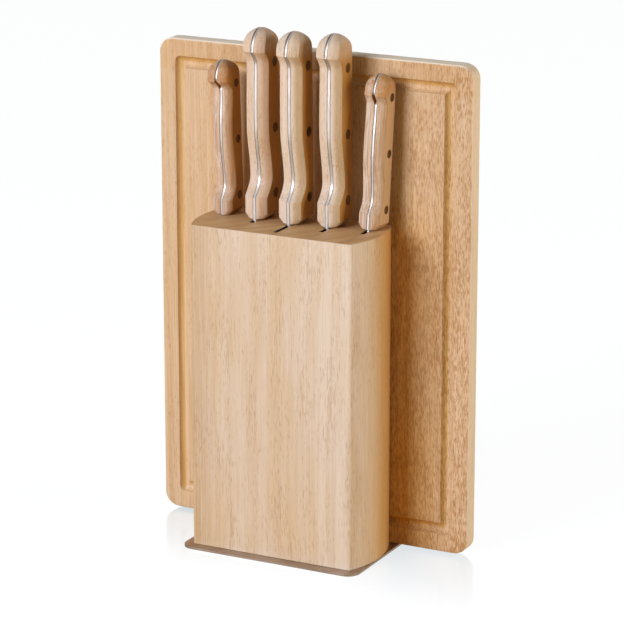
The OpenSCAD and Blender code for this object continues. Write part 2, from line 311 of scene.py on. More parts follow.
def blockShadeAndTone(f, s):
    # painted shade: warmer and deeper towards the back, where the board shades the sides; also
    # deeper at the left edge, and pale on the right of the front
    f.lay(f.step(f.v, "backShade") * s["backShadeShare"], "backShadeTone")
    f.lay(f.step(f.u, "edge") * f.streak, "deep")
    light = f.step(f.u, "light", f.v, "lightAhead") * s["lightShare"]
    f.lay(light, "pale")


def blockEndsAndShade(f, s):
    # painted shade: a warm tint that darkens the block low down and towards the back
    lowShade = f.step(f.w, "lowShade") * (s["lowShadeFront"] + f.step(f.v, "lowShadeBack") * s["lowShadeShare"])
    f.lay(f.step(f.v, "deepest") + lowShade, "shadeTint", "MULTIPLY")
    # sawn ends drink more oil: deeper colour, with the rings showing
    sawn = f.mix(f.step(f.rings, "endSteps") * s["endShare"], "endTop", "endRing")
    sawn = f.mix(f.pores * s["endPores"], sawn, "dark")
    f.colour = f.mix(f.step(f.up, "upward"), f.colour, sawn)
    # painted shade: the insides of the sawn slots, which no light reaches, are dark
    inside = f.step(abs(f.u), "slotSides", f.v, "slotFront", f.v, "slotBack", f.w, "slotTop")
    f.lay(inside, "slotShadeTone")


blockWood = woodFinish("blockWood", {
    **woodBasics, "ringShare": 0.38, "flush": (14, 14, 120),
    "backShade": (-24, 24), "backShadeShare": 0.8, "backShadeTone": (186, 126, 60),
    "edge": (-38, -54), "light": (10, 48), "lightAhead": (5, -30), "lightShare": 0.5,
    "deepest": (-24, 8), "lowShade": (80, 0), "lowShadeBack": (-20, 20), "lowShadeFront": 0.14,
    "lowShadeShare": 0.4, "shadeTint": (248, 234, 188),
    "upward": (0.7, 0.95), "endSteps": (0.35, 0.65), "endShare": 0.7, "endPores": 0.2,
    "endTop": (216, 174, 122), "endRing": (196, 152, 102),
    "slotSides": (54.5, 54), "slotFront": (-33, -32.5), "slotBack": (25, 24.5),
    "slotTop": (221.8, 221.2), "slotShadeTone": (52, 30, 14),
}, under=blockShadeAndTone, over=blockEndsAndShade)


def boardShadeAndPaleStave(f, s):
    # painted warm shade low down beside the block, on the front only, and pale on the outer right
    # stave
    f.low = f.step(f.w, "low")
    lowest = f.step(f.w, "lowest")
    where = f.step(f.u, "inner", f.v, "front") * f.thick
    f.golden = (f.low * s["lowShare"] + lowest * s["lowestShare"]) * where
    f.lay(f.golden, "warmShadeTone")
    # partly painted light: the outer right stave is laid paler, partly its own colour
    f.lay(f.outer * s["outerShare"], "pale")


def boardMottle(f, s):
    mottle = f.noise(f.fibre, "mottle", 2, 0.6)
    share = f.thick * (f.low * s["mottleLow"] + s["mottleShare"])
    f.lay(f.step(mottle, "mottleSteps") * share, "pore")


def boardShadeAndRimLight(f, s):
    # painted warm shade beside the block, tinted once more
    f.lay(f.golden, "warmShadeTint", "MULTIPLY")
    # painted shade in the groove, most of all on the walls that face right or down, away from the
    # key light
    groove = f.step(f.v, "grooveFront", f.v, "grooveBack", abs(f.u), "grooveSides",
                    f.w, "grooveTop", f.w, "grooveFoot")
    turned = f.step(f.flat, "rightward") + f.step(f.up, "downward") + s["grooveShare"]
    f.lay(groove * turned, "grooveShadeTint", "MULTIPLY")
    f.lay(f.step(f.w, "top"), "topTint", "MULTIPLY")
    # painted light on the rim, at the sides and on top
    sides = f.step(abs(f.flat), "sideward", abs(f.u), "rimSides") * s["rimSideShare"]
    above = f.step(f.up, "upward", f.w, "rimTop") * s["rimTopShare"]
    f.lay(sides + above, "rimLightTone")


boardWood = woodFinish("boardWood", {
    **woodBasics, "slant": 0.02, "heart": (200, -130), "flush": (4, 4, 120),
    "fleck": (0.6, 0.6, 4.4), "poreShare": 0.32, "streakShare": 0.4, "silverShare": 0.35,
    "pale": (236, 212, 178), "pink": (228, 198, 166), "gold": (222, 190, 146),
    "tan": (211, 174, 130), "deep": (190, 145, 98), "pore": (170, 114, 56),
    "dark": (136, 84, 38),
    "thick": (20, 60), "outer": (93, 107), "outerShare": 0.7,
    "low": (255, 205), "lowShare": 0.42, "lowest": (120, 50), "lowestShare": 0.33,
    "inner": (104, 66), "front": (36, 31), "warmShadeTone": (246, 186, 100),
    "warmShadeTint": (255, 247, 204),
    "mottle": (1.2, 1.2, 5), "mottleSteps": (0.42, 0.66), "mottleShare": 0.14,
    "mottleLow": 0.32,
    "grooveFront": (27.4, 28.8), "grooveBack": (34, 32), "grooveSides": (110, 106),
    "grooveTop": (327, 324), "grooveFoot": (6, 9), "rightward": (0.05, 0.3),
    "downward": (-0.05, -0.3), "grooveShare": 0.12, "grooveShadeTint": (250, 240, 196),
    "top": (308, 314), "topTint": (252, 246, 236),
    "sideward": (0.45, 0.85), "rimSides": (108, 112), "rimSideShare": 0.68,
    "upward": (0.2, 0.7), "rimTop": (328, 331), "rimTopShare": 0.96,
    "rimLightTone": (252, 236, 212),
}, under=boardShadeAndPaleStave, within=boardMottle, over=boardShadeAndRimLight)


def handleShadeAndWear(f, s):
    # painted shade: faces that turn right and the flat sides are darker and more golden, less so
    # towards the butt
    side = f.step(abs(f.flat), "sideward")
    facing = f.step(f.flat, "rightward") * s["rightShadeShare"]
    shadeFade = 1 - f.step(f.w, "shadeFadeFrom") * s["shadeFadeShare"]
    paintedShade = (facing + side * s["flankShadeShare"]) * shadeFade
    f.colour = f.mix(paintedShade, f.colour, f.mix(side, "rightShadeTone", "flankShade"))
    if "handled" in s:  # the butt is darker from the hand
        patches = f.noise(f.fibre, "patch", 2, 0.6)
        worn = f.step(patches, "patchSteps") * s["patchShare"] + s["handledShare"]
        f.lay(f.step(f.w, "handled") * worn, "handledTone")
    # dirt and glue in the joint beside the tang
    seam = f.step(abs(f.u), "seam") * s["seamShare"]
    f.lay(seam, "dirt")
    if "throat" in s:  # the joint has opened under the butt
        level, middle = s["throat"]
        opened = f.step(abs(f.w - level), "throatHigh", abs(f.u - middle), "throatWide")
        # painted shade in the opened joint
        f.lay(opened * s["throatShadeShare"], "dark")


handleBasics = {
    **woodBasics, "heart": (-60, 30), "ring": 4, "ringBend": 6, "wander": 1.2,
    "flush": (4, 4, 60), "silver": (1.6, 1.6, 50), "crowd": (5, 5, 30),
    "fleck": (0.55, 0.55, 5), "poreShare": 0.45, "markShare": 0.4, "rough": 0.46,
    "shine": 0.15, "coat": 0.03,
    "rightward": (0.08, 0.45), "rightShadeShare": 0.48, "rightShadeTone": (164, 126, 58),
    "sideward": (0.85, 0.97), "flankShadeShare": 0.42, "flankShade": (184, 126, 40),
    "shadeFadeFrom": (106, 116), "shadeFadeShare": 0.45,
    "seam": (1.4, 1), "seamShare": 0.55, "dirt": (70, 42, 18),
}
smallBasics = {
    **handleBasics, "seam": (1.2, 0.8), "silverShare": 0.3,
    "handled": (85, 89), "handledShare": 0.25, "handledTone": (186, 128, 70),
    "patch": (3, 3, 5), "patchSteps": (0.4, 0.62), "patchShare": 0.5,
    "throat": (86.3, -1), "throatHigh": (4.4, 3), "throatWide": (0.7, 0.4), "throatShadeShare": 0.85,
}
paleHandle = woodFinish("paleHandleWood", {
    **handleBasics, "rightShadeShare": 0.56, "flankShadeShare": 0.36,
    "pink": (231, 212, 196), "gold": (227, 206, 181), "tan": (217, 189, 156),
    "deep": (200, 164, 122),
}, over=handleShadeAndWear)
rosyHandle = woodFinish("rosyHandleWood", {
    **handleBasics, "rightShadeTone": (182, 124, 62),
    "pink": (232, 211, 193), "gold": (225, 199, 171), "tan": (212, 178, 143),
    "deep": (192, 151, 112),
}, over=handleShadeAndWear)
utilityHandle = woodFinish("utilityHandleWood", {
    **smallBasics, "rightShadeShare": 0.84, "flankShadeShare": 0.04, "streakShare": 0.5, "hairShare": 0.32,
    "rightShadeTone": (154, 102, 46),
    "pink": (229, 205, 185), "gold": (218, 187, 156), "tan": (199, 157, 119),
    "deep": (168, 118, 78),
}, over=handleShadeAndWear)
paringHandle = woodFinish("paringHandleWood", {
    **smallBasics, "rightShadeShare": 0.76, "flankShadeShare": 0, "streakShare": 0.64, "hairShare": 0.4,
    "rightShadeTone": (168, 122, 64), "flankShade": (195, 156, 108),
    "pink": (231, 214, 196), "gold": (223, 198, 170), "tan": (204, 168, 131),
    "deep": (166, 120, 80),
}, over=handleShadeAndWear)


def steelFinish(name, settings):
    # ground metal: fine lines one way, cloudy wear, a few longer scratches
    s = {**steelBasics, **settings}
    f = Finish(name, s)
    place = f.stretch(f.add("ShaderNodeTexCoord", {}, {}, "Object"), mm, mm, mm)
    lines = f.noise(place, "lines", 2, 0.6)
    cloud = f.noise(place, "cloud", 3, 0.6)
    scratch = f.step(f.noise(place, "scratch", 0), "scratchSteps")
    f.colour = f.mix(f.step(lines, "lineSteps"), "dim", "bright")
    f.lay(f.step(cloud, "cloudSteps") * s["stain"], "stainTone")
    if "tangShade" in s:  # along the edges of the tang, and half across it on the butt
        u, _, w = f.parts(f.attribute("grain"))
        # painted shade along the edges of the tang, and half across it on the butt
        edges = f.step(abs(u), "edges", w, "wooded") * s["edgeShare"]
        f.lay(edges, "tangShade")
        butt = f.step(w, "buttFrom", u, "leftHalf") * s["buttShare"]
        f.lay(butt, "tangShade")
    rough = (s["rough"] + (lines - 0.5) * s["lineRough"] + (cloud - 0.5) * s["cloudRough"]
             + scratch * s["scratchRough"])
    return f.surface(lines + scratch * s["scratchHigh"], {
        "Base Color": f.colour, "Metallic": 1, "Roughness": rough})


steelBasics = {
    "lineSteps": (0.3, 0.7), "lineRough": 0.2, "cloud": (14, 14, 14), "cloudSteps": (0.45, 0.7),
    "cloudRough": 0.15, "scratchSteps": (0.7, 0.78), "scratchRough": 0.1, "scratchHigh": 0.6,
    "reliefHeight": 0.03 * mm,
}
bladeSteel = steelFinish("bladeSteel", {
    "lines": (0.3, 0.12, 18), "scratch": (0.6, 0.5, 40), "rough": 0.52, "relief": 0.35,
    "dim": (182, 175, 169), "bright": (208, 202, 196), "stain": 0.2,
    "stainTone": (156, 149, 142), "tangShade": (92, 70, 50),
    # in millimetres across the tang, and up from the lower edge of the butt
    "edges": (0.45, 1), "wooded": (-112, -108), "edgeShare": 0.15,
    "leftHalf": (0.3, -0.3), "buttFrom": (-1, 2), "buttShare": 0.8,
})
plateSteel = steelFinish("plateSteel", {
    "lines": (22, 0.22, 0.5), "scratch": (45, 0.6, 0.6), "rough": 0.38, "relief": 0.5,
    "dim": (158, 140, 128), "bright": (190, 174, 162), "stain": 0.35,
    "stainTone": (132, 112, 98),
})
screwSteel = steelFinish("screwSteel", {
    "lines": (1.2, 1.2, 0.4), "scratch": (2, 2, 2), "rough": 0.33, "relief": 0.4,
    "dim": (160, 160, 162), "bright": (196, 196, 198), "stain": 0.4,
    "stainTone": (120, 116, 108),
})
rivetBronze = steelFinish("rivetBronze", {
    "lines": (0.35, 0.9, 0.35), "scratch": (1.2, 0.4, 1.2), "rough": 0.5, "relief": 0.6,
    "dim": (92, 68, 42), "bright": (134, 102, 66), "stain": 0.6,
    "stainTone": (62, 46, 28),
})
print("finishes made")


# block: six slabs and five spacers

block = {
    "bulge": 7.0,  # how far the curved sides stand out past the front's corner
    "creaseRadius": 2.6,  # rounding of the four upright corner edges
    "topRound": 0.8, "footRound": 0.5, "slotRound": 0.35,  # roundings of the outline
    "arcSteps": 8, "sideSteps": 28,
}


def fromSide(low, high, slotSpan):
    # outline of a slab or spacer seen from the side, its outer corners rounded
    s = block
    top, foot, n = s["topRound"], s["footRound"], s["arcSteps"]
    runs = [
        roundedCorner((high[1] - foot, low[2] + foot), foot, 0, -90, n),
        roundedCorner((low[1] + foot, low[2] + foot), foot, -90, -180, n),
        roundedCorner((low[1] + top, high[2] - top), top, 180, 90, n),
    ]
    if slotSpan:
        front, back, bottom = slotSpan
        q = s["slotRound"]
        runs += [
            roundedCorner((front - q, high[2] - q), q, 90, 0, 4),
            np.array([[front, bottom], [back, bottom]]),
            roundedCorner((back + q, high[2] - q), q, 180, 90, 4),
        ]
    runs.append(roundedCorner((high[1] - top, high[2] - top), top, 90, 0, n))
    return np.concatenate(runs)


def slabBetween(name, low, high, slotSpan=None):
    # the side outline carried straight across from left to right
    outline = fromSide(low, high, slotSpan)
    n = len(outline)
    points = [np.column_stack([np.full(n, x), outline]) for x in (low[0], high[0])]
    faces = stripQuads(2, n, loop=True) + [list(range(n)), list(range(n, 2 * n))]
    return makePiece(name, points, faces)


def endSlab(name, low, high, side):
    # the plan of an outer slab, front and round the curved side to the back, carried up a
    # wall section that is rounded at foot and top; side is 1 on the right and -1 on the left
    s = block
    n, q = s["arcSteps"], s["creaseRadius"]
    half = (high[1] - low[1]) / 2
    middle = (high[1] + low[1]) / 2
    inner, outer = (low[0], high[0]) if side > 0 else (-high[0], -low[0])
    radius = (half ** 2 + s["bulge"] ** 2) / (2 * s["bulge"])
    centre = outer - radius
    turnX = centre + math.sqrt((radius - q) ** 2 - (half - q) ** 2)
    meet = math.degrees(math.atan2(half - q, turnX - centre))
    plan = np.concatenate([
        [[inner, -half], [(inner + turnX) / 2, -half]],
        roundedCorner((turnX, q - half), q, -90, -meet, n),
        roundedCorner((centre, 0), radius, -meet, meet, s["sideSteps"])[1:-1],
        roundedCorner((turnX, half - q), q, meet, 90, n),
        [[(inner + turnX) / 2, half], [inner, half]],
    ])
    square = angles(90, 90, 2)
    facing = np.r_[-square, angles(-90, -meet, n), angles(-meet, meet, s["sideSteps"])[1:-1],
                   angles(meet, 90, n), square]
    outward = np.column_stack([np.cos(facing), np.sin(facing)])
    foot, top = s["footRound"], s["topRound"]
    arc = angles(0, 90, n)
    inset = np.r_[foot * (1 - np.sin(arc)), top * (1 - np.cos(arc))]
    level = np.r_[low[2] + foot * (1 - np.cos(arc)), high[2] - top * (1 - np.sin(arc))]
    ring = plan[None] - outward[None] * inset[:, None, None]
    rows, columns = ring.shape[:2]
    points = np.dstack([side * ring[..., 0], ring[..., 1] + middle,
                        np.repeat(level[:, None], columns, 1)])
    first, last = np.arange(rows) * columns, np.arange(rows) * columns + columns - 1
    faces = stripQuads(rows, columns) + [
        list(range(columns)), list(range((rows - 1) * columns, rows * columns)),
        first.tolist() + last[::-1].tolist()]
    return makePiece(name, points, faces)


for number in range(1, 7):
    node = f"block_slab_{number}"
    low, high = corners(node)
    name = f"blockSlab{number}"
    if number in (1, 6):
        piece = endSlab(name, low, high, -1 if number == 1 else 1)
    else:
        piece = slabBetween(name, low, high)
    settle(piece, "block", "block_wood", blockWood, node)
for number in range(1, 6):
    node = f"slot_spacer_{number}"
    low, high = corners(node)
    spots = np.array([v.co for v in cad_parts[node].data.vertices]) / mm
    cut = spots[(spots[:, 1] > low[1] + 0.1) & (spots[:, 1] < high[1] - 0.1)]
    span = (cut[:, 1].min(), cut[:, 1].max(), cut[:, 2].min())
    piece = slabBetween(f"slotSpacer{number}", low, high, span)
    settle(piece, "block", "spacer_wood", blockWood, node)
print("block made")


# cutting board: five staves cut from one grooved and rounded sheet

board = {
    "cornerRadius": 10, "edgeRound": 1.4,
    "grooveInset": 12, "grooveWidth": 8, "grooveDepth": 3,
    "grooveLip": 0.35, "lipDepth": 0.12,  # the softened edge of the groove
    # where the grid has lines: in from the rim, and out from the middle of the groove as shares
    # of half its width
    "rimLines": (0, 0.06, 0.2, 0.42, 0.7, 1.05, 1.5, 2.2, 4.5, 8, 11),
    "cutLines": (0, 0.2, 0.4, 0.575, 0.725, 0.825, 0.8875, 0.9375, 0.975, 1.0125, 1.0625),
    # each stave is cut from another place in the tree
    "grainShifts": [(0, 0, 0), (340, 60, 900), (-510, 20, 400), (260, -80, 1500),
                    (90, 140, 700)],
}
staveBoxes = [corners(f"board_stave_{n}") for n in range(1, 6)]
boardLow, boardHigh = staveBoxes[0][0], staveBoxes[4][1]
boardHalf = (boardHigh - boardLow) / 2
boardMiddle = (boardHigh + boardLow) / 2


def gridLines(half, *extra):
    # line places from -half to half, close together at the rounded rim and in the groove
    s = board
    reach = s["grooveWidth"] / 2
    centre = half - s["grooveInset"] - reach
    cut = reach * np.array(s["cutLines"])
    inside = np.linspace(0, centre - reach - 3, max(3, int(centre / 9)))
    one = np.r_[half - np.array(s["rimLines"]), centre - cut, centre + cut[1:], inside]
    return np.unique(np.round(np.r_[one, -one, extra], 4))


def rimDistance(x, z):
    # distance in from the rounded outline of the board
    r = board["cornerRadius"]
    overX, overZ = abs(x) - (boardHalf[0] - r), abs(z) - (boardHalf[2] - r)
    corner = r - np.hypot(np.maximum(overX, 0), np.maximum(overZ, 0))
    straight = np.minimum(boardHalf[0] - abs(x), boardHalf[2] - abs(z))
    return np.clip(np.where((overX > 0) & (overZ > 0), corner, straight), 0, None)


def grooveDepth(x, z):
    # a round-bottomed cut along a rectangle: depth from the distance to that rectangle,
    # measured round its corners outside and square inside
    s = board
    off = s["grooveInset"] + s["grooveWidth"] / 2
    overX, overZ = abs(x) - (boardHalf[0] - off), abs(z) - (boardHalf[2] - off)
    away = np.abs(np.hypot(np.maximum(overX, 0), np.maximum(overZ, 0))
                  + np.minimum(np.maximum(overX, overZ), 0))
    half = s["grooveWidth"] / 2
    radius = (half ** 2 + s["grooveDepth"] ** 2) / (2 * s["grooveDepth"])
    depth = leg(radius, away) - (radius - s["grooveDepth"])
    soft = s["lipDepth"] * np.exp(-((away - half) / s["grooveLip"]) ** 2)
    return np.where(depth > 0, depth, 0) + soft


def makeStave(number, low, high):
    # front and back of one stave over the same grid of x and z, joined round their border
    r, q = board["cornerRadius"], board["edgeRound"]
    left, right = low[0] - boardMiddle[0], high[0] - boardMiddle[0]
    xs = gridLines(boardHalf[0], left, right)
    keep = (xs >= left - 1e-3) & (xs <= right + 1e-3)
    x, z = np.meshgrid(xs[keep], gridLines(boardHalf[2]), indexing="ij")
    over = np.clip(abs(x) - (boardHalf[0] - r), 0, r)
    tall = boardHalf[2] - r + np.sqrt(r ** 2 - over ** 2)
    z = z * tall / boardHalf[2]
    rim = rimDistance(x, z)
    soft = np.where(rim < q, q - leg(q, q - rim), 0)
    front = np.dstack([x + boardMiddle[0], low[1] + soft + grooveDepth(x, z),
                       z + boardMiddle[2]])
    back = np.dstack([x + boardMiddle[0], high[1] - soft, z + boardMiddle[2]])
    rows, columns = x.shape
    index = np.arange(rows * columns).reshape(rows, columns)
    border = np.r_[index[0], index[1:, -1], index[-1, -2::-1], index[-2:0:-1, 0]]
    after = np.roll(border, -1)
    count = rows * columns
    walls = np.column_stack([border, after, after + count, border + count]).tolist()
    quads = np.array(stripQuads(rows, columns))
    faces = quads.tolist() + (quads[:, ::-1] + count).tolist() + walls
    return makePiece(f"boardStave{number}", np.concatenate([front, back]), faces, 30, None,
                     board["grainShifts"][number - 1])


for number, (low, high) in enumerate(staveBoxes, 1):
    settle(makeStave(number, low, high), "cutting_board", "board_wood", boardWood,
           f"board_stave_{number}")
print("cutting board made")


# knives: steel with a full tang, two scales and three rivets each

bigKnife = {
    "handle": 126.5, "width": 16.4, "footHeight": 15.5, "footDepth": 23.8, "neckDepth": 16.2,
    "gripDepth": 20.6, "buttDepth": 25.0, "buttHeight": 14.5, "steel": 2.0, "lean": 0,
    "throatDrop": 0.8,
    "crown": 2.8,  # how far belly and spine fall away from the tang to the long edges
    "gaps": (0.08, 0.34),  # open joint beside the tang, left and right
    "throatGap": 0,  # how much further the left joint has opened under the butt
    "footBare": 0.9,  # steel left bare below the wooden feet
    "rivet": 3.4, "rivetRise": 1.2, "rivetDrop": 7.8,
    "tilt": 0, "blade": 200, "scallops": False, "slot": "handle_wood", "wood": paleHandle,
}
smallKnife = {
    **bigKnife, "width": 15.2, "footHeight": 10, "crown": 1.8, "gaps": (0.34, 0.08),
    "throatGap": 0.6, "footBare": 0, "rivet": 2.95, "slot": "small_handle_wood",
    "wood": utilityHandle,
}
knives = {
    "utility": {
        **smallKnife, "handle": 103, "footDepth": 18.8, "neckDepth": 13.2, "gripDepth": 16.1,
        "throatDrop": 2.2, "buttDepth": 20.6, "buttHeight": 12.9, "rivetRise": 1.8,
        "rivetDrop": 2.6, "steel": 1.6, "blade": 115, "bladeWidth": 16.1, "lean": 2.3,
        "tilt": -0.4},
    "carving": {**bigKnife, "bladeWidth": 26.8, "lean": 0.7, "wood": rosyHandle},
    "chef": {**bigKnife, "bladeWidth": 40.6, "lean": 1.3},
    "bread": {**bigKnife, "bladeWidth": 30, "lean": 0.5, "scallops": True},
    "paring": {
        **smallKnife, "handle": 101.2, "footDepth": 17.4, "neckDepth": 12.9, "gripDepth": 15.6,
        "throatDrop": 1.2, "buttDepth": 18.3, "buttHeight": 13.6, "rivetRise": 2.4,
        "rivetDrop": 1.5, "steel": 1.4, "blade": 75, "bladeWidth": 18, "lean": -3,
        "tilt": 1.4, "wood": paringHandle},
}
shape = {
    "edgeRadius": 0.8, "buttSofter": 0.8,  # softening of the long edges, and how much more on top
    # shares of the handle's length: neck above the foot, swell, its end, flare under the butt
    "neckShare": 0.1, "swellShare": 0.49, "fadeShare": 0.56, "throatShadeShare": 0.068,
    "archShare": 0.62,  # height of the butt's arch seen from the front, of the butt's height
    "backShare": 0.83,  # the same for the butt's back
    "footBevel": 2.7, "footBevelHeight": 3.4, "footSoft": 0.3,
    "gapDepth": 0.9,
    "openDrop": 2.5, "openReach": 3,  # how far under the butt a joint opens most, and over what
}
blade = {
    "backInset": 1.2,  # the blade's back lies this far in from the handle's
    "heelGap": 10,
    "bellyShare": 0.45, "tipRise": 0.94,  # where the edge begins to rise, how far at the point
    "spineShare": 0.93, "spineDrop": 0.06,  # where the back begins to fall, and how far
    "grindShare": 0.35, "edgeThickness": 0.4, "corner": 0.18,
    "scallopRadius": 6, "scallopDepth": 1.3, "scallopPitch": 8, "scallopShare": 0.6,
    "tangSunk": 4,  # how deep the tang lies in an open joint, of the joint's extra width
}
rivet = {
    "proud": 0.16, "dome": 0.1,  # height of the head above the wood, and how much is dome
    "headDepth": 3, "shankRadius": 2.1,
    "depthShare": 0.43,  # place in front of the spine, of the grip's depth
    "turns": 40,
}


def stations(k):
    # heights at which the handle's outline changes its course
    s, long, foot = shape, k["handle"], k["footHeight"]
    butt = long - k["buttHeight"]
    return (foot, foot + s["neckShare"] * long, s["swellShare"] * long, s["fadeShare"] * long,
            butt - s["throatShadeShare"] * long, butt)


def bellyDepth(k, z):
    # from the foot a quarter sine in to the neck, half a cosine out to the swell, a slight
    # fade to the throat, a flare to the butt's edge and an ellipse over the butt
    foot, neck, grip, butt = (k[n] for n in ("footDepth", "neckDepth", "gripDepth", "buttDepth"))
    throat = grip - k["throatDrop"]
    footZ, neckZ, swellZ, fadeZ, throatZ, buttZ = stations(k)

    def share(a, b):
        return np.clip((z - a) / (b - a), 0, 1)
    half = np.pi / 2
    dome = butt / 2 * (1 + np.sqrt(np.clip(1 - np.clip((z - buttZ) / k["buttHeight"], 0, 1) ** 2,
                                           0, 1)))
    return np.select([z <= footZ, z <= neckZ, z <= fadeZ, z <= throatZ, z <= buttZ], [
        foot,
        foot + (neck - foot) * np.sin(half * share(footZ, neckZ)),
        neck + (grip - neck) * (1 - np.cos(np.pi * share(neckZ, swellZ))) / 2,
        grip + (throat - grip) * (1 - np.cos(np.pi * share(fadeZ, throatZ))) / 2,
        throat + (butt - throat) * (1 - np.cos(half * share(throatZ, buttZ))),
    ], dome)


def backDepth(k, z):
    # straight up, then a lower ellipse over the back of the butt
    rise = shape["backShare"] * k["buttHeight"]
    up = np.clip((z - k["handle"] + rise) / rise, 0, 1)
    return k["buttDepth"] / 2 * (1 - np.sqrt(1 - up ** 2))


def halfWidth(k, z):
    # bevelled at the foot, straight, and an elliptical arch over the butt
    s = shape
    arch = s["archShare"] * k["buttHeight"]
    up = np.clip((z - k["handle"] + arch) / arch, 0, 1)
    cut = s["footBevel"] * np.clip(1 - z / s["footBevelHeight"], 0, 1)
    return k["width"] / 2 * np.sqrt(1 - up ** 2) - cut


def levels(k):
    # heights of the handle's sections, close together where it curves
    s = shape
    foot, neck, swell, fade, throat, butt = stations(k)
    dome = np.r_[angles(0, 60, 14), angles(63, 89, 14)]
    return np.unique(np.round(np.r_[
        s["footSoft"] * (1 - np.cos(angles(0, 90, 5))),
        np.linspace(s["footSoft"], s["footBevelHeight"], 7), [foot * 0.6, foot - 0.5, foot],
        np.linspace(foot, neck, 13), np.linspace(neck, swell, 26), np.linspace(swell, fade, 4),
        np.linspace(fade, throat, 12), np.linspace(throat, butt, 18),
        k["handle"] - k["buttHeight"] * (1 - np.sin(dome)),
    ], 4))


def opening(k, z):
    # 1 where the joint under the butt is widest open, falling to 0 above and below
    widest = k["handle"] - k["buttHeight"] - shape["openDrop"]
    return np.exp(-((z - widest) / shape["openReach"]) ** 4)


def scaleSections(k, gap, throatGap):
    # each section runs from the tang round belly, side and spine back to the tang
    s = shape
    z = levels(k)
    x0 = k["steel"] / 2
    half = halfWidth(k, z)
    keep = half > x0 + 0.25
    z, half = z[keep], half[keep]
    foot, bare = k["footHeight"], k["footBare"]
    # bare steel shortens the foot from below
    rise = np.where(z < foot, bare * (1 - z / foot), 0)
    soft = s["footSoft"]
    inset = np.where(z < soft, soft - leg(soft, soft - z), 0)
    half = half - inset
    front, back = -bellyDepth(k, z) + inset, -backDepth(k, z) - inset
    dome = np.clip((z - k["handle"] + k["buttHeight"]) / k["buttHeight"], 0, 1)
    r = np.minimum.reduce([s["edgeRadius"] + s["buttSofter"] * dome, 0.9 * (half - x0),
                           0.4 * (back - front)])
    # an opened joint is also three times as deep
    opened = opening(k, z)
    wide = np.minimum(gap + throatGap * opened, 0.5 * (half - x0))
    deep = np.minimum(s["gapDepth"] * (1 + 2 * opened * (throatGap > 0)), 0.2 * (back - front))
    lip, bend = angles(0, 90, 4), angles(0, 90, 10)
    # from here on each is a column, with a row for each section
    half, front, back, r, wide, deep, z = (
        v[:, None] for v in (half, front, back, r, wide, deep, z + rise))
    flatX = x0 + wide + (half - r - x0 - wide) * np.linspace(0, 1, 6)[1:]
    sideY = front + r + (back - front - 2 * r) * np.linspace(0, 1, 8)[1:-1]
    x = np.hstack([x0 + wide * (1 - np.cos(lip)), flatX, half - r + r * np.sin(bend)[1:],
                   np.repeat(half, 6, 1), half - r + r * np.cos(bend), flatX[:, -2::-1],
                   x0 + wide * (1 - np.cos(lip[::-1]))])
    y = np.hstack([front + deep * (1 - np.sin(lip)), np.repeat(front, 5, 1),
                   front + r - r * np.cos(bend)[1:], sideY, back - r + r * np.sin(bend),
                   np.repeat(back, 4, 1), back - deep * (1 - np.sin(lip[::-1]))])
    # belly and spine fall away a little towards the edges
    crown = np.minimum(k["crown"], 0.3 * (back - front))
    fall = crown * np.clip((x - x0) / (half - x0), 0, 1) ** 2
    off = (y - (front + back) / 2) / ((back - front) / 2)
    y = y - fall * np.sign(off) * np.clip(np.abs(off), 0, 1) ** 3
    return np.dstack([x, y, np.repeat(z, x.shape[1], 1)])


def knifeTurn(k):
    # the slight lean to the front and to the side that a knife has in its slot
    a, b = math.radians(k["lean"]), math.radians(k["tilt"])
    lean = np.array([[1, 0, 0], [0, math.cos(a), -math.sin(a)], [0, math.sin(a), math.cos(a)]])
    tilt = np.array([[math.cos(b), 0, math.sin(b)], [0, 1, 0], [-math.sin(b), 0, math.cos(b)]])
    return tilt @ lean


def makeScale(name, k, side, turn, place, shift):
    # the sections joined up, with a flat end at the foot and a fan to one point on top
    points = scaleSections(k, k["gaps"][0 if side < 0 else 1], k["throatGap"] * (side < 0))
    rows, columns = points.shape[:2]
    top = points[-1].mean(0)
    top[0], top[2] = k["steel"] / 2, k["handle"] - 0.02
    points = np.concatenate([points.reshape(-1, 3), top[None]]) * [side, 1, 1]
    faces = stripQuads(rows, columns, loop=True) + [list(range(columns))]
    rim = np.arange((rows - 1) * columns, rows * columns)
    faces += np.column_stack([rim, np.roll(rim, -1), np.full(columns, rows * columns)]).tolist()
    return makePiece(name, points @ turn.T + place, faces, 20, (turn, place), shift)


